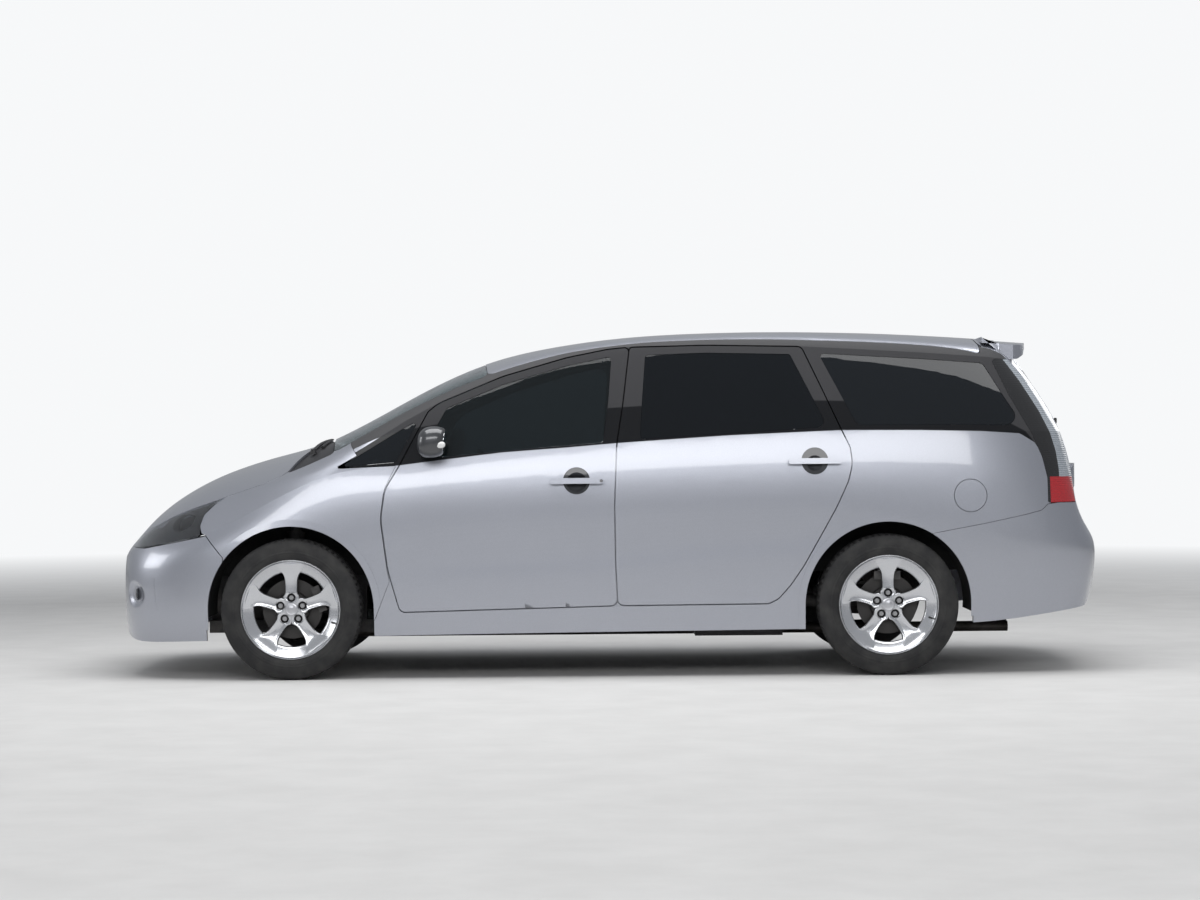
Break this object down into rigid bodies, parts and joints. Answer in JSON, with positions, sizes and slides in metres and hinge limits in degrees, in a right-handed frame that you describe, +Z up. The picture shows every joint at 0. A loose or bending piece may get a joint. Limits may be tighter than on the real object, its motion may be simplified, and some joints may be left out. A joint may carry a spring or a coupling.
{
  "type": "minivan",
  "caption": "Family minivan with hinged doors, tailgate and bonnet, steered front wheels, open cabin and turning wheels.",
  "frame": {"origin": "centre of the bounding box at the ground under the tyres", "axes": "+X to the rear, so the front faces -X; +Y to the right side of the vehicle; +Z up"},
  "size_m": [4.7732, 2.0678, 1.6552],
  "materials": {
    "arch_liners": "matt",
    "bonnet": "metallic gloss",
    "cowl": "matt",
    "dashboard": "matt",
    "door_mirror_left": "gloss",
    "door_mirror_right": "gloss",
    "engine": "rough",
    "exhaust": "satin",
    "fixed_glass": "gloss",
    "floor_pan": "matt",
    "front_bumper": "metallic gloss",
    "front_door_left": "metallic gloss",
    "front_door_left_glass": "gloss",
    "front_door_right": "metallic gloss",
    "front_door_right_glass": "gloss",
    "front_fenders": "metallic gloss",
    "front_seats": "matt",
    "front_subframe": "rough",
    "fuel_flap": "metallic gloss",
    "fuel_tank": "matt",
    "grille": "matt",
    "headlamp_bowls": "satin",
    "headlamps": "gloss",
    "knuckle_left": "rough",
    "knuckle_right": "rough",
    "rear_axle": "rough",
    "rear_bumper": "metallic gloss",
    "rear_door_left": "metallic gloss",
    "rear_door_left_glass": "gloss",
    "rear_door_right": "metallic gloss",
    "rear_door_right_glass": "gloss",
    "rear_seats": "matt",
    "rim_front_left": "satin",
    "rim_front_right": "satin",
    "rim_rear_left": "satin",
    "rim_rear_right": "satin",
    "roof_panel": "metallic gloss",
    "side_frames": "metallic gloss",
    "steering_wheel": "matt",
    "tail_lamps": "gloss",
    "tailgate": "metallic gloss",
    "tailgate_glass": "gloss",
    "tyre_front_left": "matt",
    "tyre_front_right": "matt",
    "tyre_rear_left": "matt",
    "tyre_rear_right": "matt"
  },
  "bodies": {
    "car_body": {"arch_liners": "arch_liners", "cowl": "cowl", "dashboard": "dashboard", "engine": "engine", "exhaust": "exhaust", "fixed_glass": "fixed_glass", "floor_pan": "floor_pan", "front_bumper": "front_bumper", "front_fenders": "front_fenders", "front_seats": "front_seats", "front_subframe": "front_subframe", "fuel_tank": "fuel_tank", "grille": "grille", "headlamp_bowls": "headlamp_bowls", "headlamps": "headlamps", "rear_axle": "rear_axle", "rear_bumper": "rear_bumper", "rear_seats": "rear_seats", "roof_panel": "roof_panel", "side_frames": "side_frames", "tail_lamps": "tail_lamps"},
    "bonnet": {"bonnet": "bonnet"},
    "tailgate": {"tailgate": "tailgate", "tailgate_glass": "tailgate_glass"},
    "front_door_left": {"front_door_left": "front_door_left", "front_door_left_glass": "front_door_left_glass", "door_mirror_left": "door_mirror_left"},
    "front_door_right": {"front_door_right": "front_door_right", "front_door_right_glass": "front_door_right_glass", "door_mirror_right": "door_mirror_right"},
    "rear_door_left": {"rear_door_left": "rear_door_left", "rear_door_left_glass": "rear_door_left_glass"},
    "rear_door_right": {"rear_door_right": "rear_door_right", "rear_door_right_glass": "rear_door_right_glass"},
    "fuel_flap": {"fuel_flap": "fuel_flap"},
    "steering_wheel": {"steering_wheel": "steering_wheel"},
    "knuckle_left": {"knuckle_left": "knuckle_left"},
    "knuckle_right": {"knuckle_right": "knuckle_right"},
    "wheel_front_left": {"tyre_front_left": "tyre_front_left", "rim_front_left": "rim_front_left"},
    "wheel_front_right": {"tyre_front_right": "tyre_front_right", "rim_front_right": "rim_front_right"},
    "wheel_rear_left": {"tyre_rear_left": "tyre_rear_left", "rim_rear_left": "rim_rear_left"},
    "wheel_rear_right": {"tyre_rear_right": "tyre_rear_right", "rim_rear_right": "rim_rear_right"}
  },
  "joints": [
    {"name": "steering", "type": "hinge", "parent": "car_body", "child": "steering_wheel", "pos_m": [-0.56096, -0.36977, 0.90529], "axis": [0.9061, 0, 0.423], "range_deg": [-540, 540]},
    {"name": "steer_left", "type": "hinge", "parent": "car_body", "child": "knuckle_left", "pos_m": [-1.5175, -0.7162, 0.2003], "axis": [0, 0.2346, 0.9721], "range_deg": [-36, 36]},
    {"name": "steer_right", "type": "hinge", "parent": "car_body", "child": "knuckle_right", "pos_m": [-1.5175, 0.7162, 0.2003], "axis": [0, -0.2346, 0.9721], "range_deg": [-36, 36]},
    {"name": "spin_front_left", "type": "hinge", "parent": "knuckle_left", "child": "wheel_front_left", "pos_m": [-1.5175, -0.7775, 0.334], "axis": [0, 1, 0], "continuous": true},
    {"name": "spin_front_right", "type": "hinge", "parent": "knuckle_right", "child": "wheel_front_right", "pos_m": [-1.5175, 0.7775, 0.334], "axis": [0, 1, 0], "continuous": true},
    {"name": "spin_rear_left", "type": "hinge", "parent": "car_body", "child": "wheel_rear_left", "pos_m": [1.3125, -0.7775, 0.334], "axis": [0, 1, 0], "continuous": true},
    {"name": "spin_rear_right", "type": "hinge", "parent": "car_body", "child": "wheel_rear_right", "pos_m": [1.3125, 0.7775, 0.334], "axis": [0, 1, 0], "continuous": true},
    {"name": "front_door_left", "type": "hinge", "parent": "car_body", "child": "front_door_left", "pos_m": [-1.088, -0.8985, 0.7], "axis": [0, 0.0523, 0.9986], "range_deg": [-66, 0]},
    {"name": "front_door_right", "type": "hinge", "parent": "car_body", "child": "front_door_right", "pos_m": [-1.088, 0.8985, 0.7], "axis": [0, -0.0523, 0.9986], "range_deg": [0, 66]},
    {"name": "rear_door_left", "type": "hinge", "parent": "car_body", "child": "rear_door_left", "pos_m": [0.018, -0.8985, 0.7], "axis": [0, 0.0523, 0.9986], "range_deg": [-66, 0]},
    {"name": "rear_door_right", "type": "hinge", "parent": "car_body", "child": "rear_door_right", "pos_m": [0.018, 0.8985, 0.7], "axis": [0, -0.0523, 0.9986], "range_deg": [0, 66]},
    {"name": "tailgate_lift", "type": "hinge", "parent": "car_body", "child": "tailgate", "pos_m": [1.789, 0, 1.618], "axis": [0, -1, 0], "range_deg": [0, 78]},
    {"name": "bonnet_lift", "type": "hinge", "parent": "car_body", "child": "bonnet", "pos_m": [-1.421, 0, 1.114], "axis": [0, 1, 0], "range_deg": [0, 48]},
    {"name": "fuel_flap", "type": "hinge", "parent": "car_body", "child": "fuel_flap", "pos_m": [1.625, -0.888, 0.848], "axis": [0, 0, 1], "range_deg": [-100, 0]}
  ],
  "couplings": [
    {"joint": "steer_left", "follows": "steering", "ratio": 0.064815},
    {"joint": "steer_right", "follows": "steering", "ratio": 0.064815}
  ]
}
